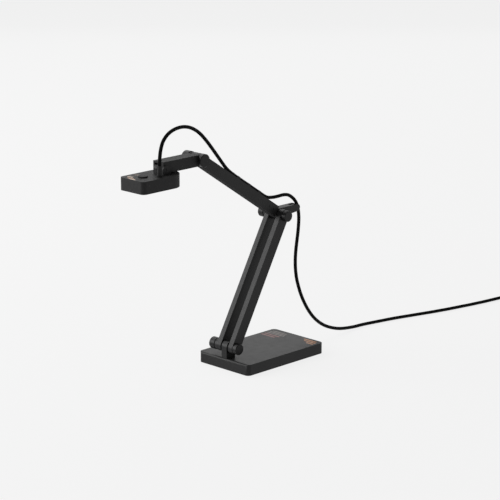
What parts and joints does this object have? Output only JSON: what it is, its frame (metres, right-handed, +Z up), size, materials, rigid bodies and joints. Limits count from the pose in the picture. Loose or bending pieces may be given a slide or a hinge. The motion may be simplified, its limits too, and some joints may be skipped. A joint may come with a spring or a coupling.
{
  "type": "document camera",
  "caption": "Document camera on a folding friction-hinged arm with a weighted flat base, tilting camera head and USB cable.",
  "frame": {"origin": "centre of the flat underside of the base, on the table", "axes": "+Z up, -Y to the front, where the camera head overhangs, +X to the right across the base"},
  "size_m": [0.15, 0.6416, 0.2933],
  "materials": {
    "shell_plastic": "fine moulded texture with a low sheen",
    "gloss_cover": "smooth, semi-gloss",
    "dark_plastic": "matt",
    "cap_plastic": "smooth, semi-gloss, with a black groove",
    "pad_rubber": "matt",
    "soft_rubber": "soft touch",
    "weight_iron": "as cast",
    "zinc_steel": "zinc plated",
    "black_steel": "black oxide",
    "spring_steel": "blued spring steel",
    "washer_plastic": "black acetal",
    "circuit_board": "green solder mask",
    "connector_plastic": "natural nylon",
    "sensor_face": "glossy, dark blue",
    "lens_plastic": "matt black",
    "lens_glass": "clear, coated",
    "bezel_plastic": "polished",
    "switch_metal": "stamped",
    "button_plastic": "smooth, semi-gloss",
    "led_plastic": "smoked, LED not lit",
    "cable_jacket": "smooth soft jacket",
    "tie_plastic": "flexible strip",
    "plug_plastic": "moulded",
    "plug_metal": "nickel plated"
  },
  "bodies": {
    "base": {"base_shell": "shell_plastic", "base_bottom_plate": "dark_plastic", "base_weight": "weight_iron", "base_pad": "pad_rubber", "base_screws": "zinc_steel", "hinge_post": "shell_plastic", "hinge_post_screws": "zinc_steel", "cable_lead": "cable_jacket", "cable_coil": "cable_jacket", "cable_tie": "tie_plastic", "usb_plug_body": "plug_plastic", "usb_plug_shell": "plug_metal"},
    "lower_arm": {"lower_bar_left": "shell_plastic", "lower_bar_right": "shell_plastic", "lower_hinge_bolt": "zinc_steel", "lower_hinge_washers": "washer_plastic", "lower_hinge_springs": "spring_steel", "lower_hinge_nut": "zinc_steel", "lower_hinge_left_cap": "cap_plastic", "lower_hinge_right_cap": "cap_plastic", "elbow_bolt": "zinc_steel", "elbow_washers": "washer_plastic", "elbow_springs": "spring_steel", "elbow_nut": "zinc_steel", "elbow_left_cap": "cap_plastic", "elbow_right_cap": "cap_plastic"},
    "upper_arm": {"upper_arm_tube": "shell_plastic", "elbow_block": "shell_plastic", "arm_pins": "black_steel", "cable_clips": "dark_plastic", "cable_arm_run": "cable_jacket", "cable_drop": "cable_jacket"},
    "neck": {"neck_shell": "gloss_cover", "neck_cover": "dark_plastic", "neck_screws": "zinc_steel", "wrist_bolt": "zinc_steel", "wrist_washers": "washer_plastic", "wrist_spring": "spring_steel", "wrist_nut": "zinc_steel", "wrist_left_cap": "cap_plastic", "wrist_right_cap": "cap_plastic", "cable_loop_rear": "cable_jacket"},
    "head": {"head_top_cover": "gloss_cover", "head_bottom_cover": "dark_plastic", "head_screws": "zinc_steel", "head_yoke": "dark_plastic", "yoke_screws": "zinc_steel", "tilt_pin": "black_steel", "cable_boot": "soft_rubber", "sensor_board": "circuit_board", "board_connector": "connector_plastic", "image_sensor": "sensor_face", "lens_holder": "lens_plastic", "lens_barrel": "lens_plastic", "lens_glass": "lens_glass", "lens_bezel": "bezel_plastic", "focus_switch": "switch_metal", "status_led": "led_plastic", "cable_loop_front": "cable_jacket"},
    "focus_button": {"focus_button": "button_plastic"}
  },
  "joints": [
    {"name": "base_hinge", "type": "hinge", "parent": "base", "child": "lower_arm", "pos_m": [0, -0.0543, 0.0252], "axis": [1, 0, 0], "range_deg": [-48, 45], "deforming": ["cable_lead"]},
    {"name": "elbow", "type": "hinge", "parent": "lower_arm", "child": "upper_arm", "pos_m": [0, 0.02523, 0.16691], "axis": [1, 0, 0], "range_deg": [-85, 60], "deforming": ["cable_drop"]},
    {"name": "wrist", "type": "hinge", "parent": "upper_arm", "child": "neck", "pos_m": [0, -0.10209, 0.25086], "axis": [1, 0, 0], "range_deg": [-85, 35], "deforming": ["cable_loop_rear"]},
    {"name": "head_tilt", "type": "hinge", "parent": "neck", "child": "head", "pos_m": [0, -0.15749, 0.24896], "axis": [-1, 0, 0], "range_deg": [0, 90], "deforming": ["cable_loop_front"]},
    {"name": "focus_press", "type": "slide", "parent": "head", "child": "focus_button", "axis": [0, 0, -1], "range_m": [0, 0.0004], "stiffness_N_per_m": 1500, "springref_m": -0.0003}
  ]
}
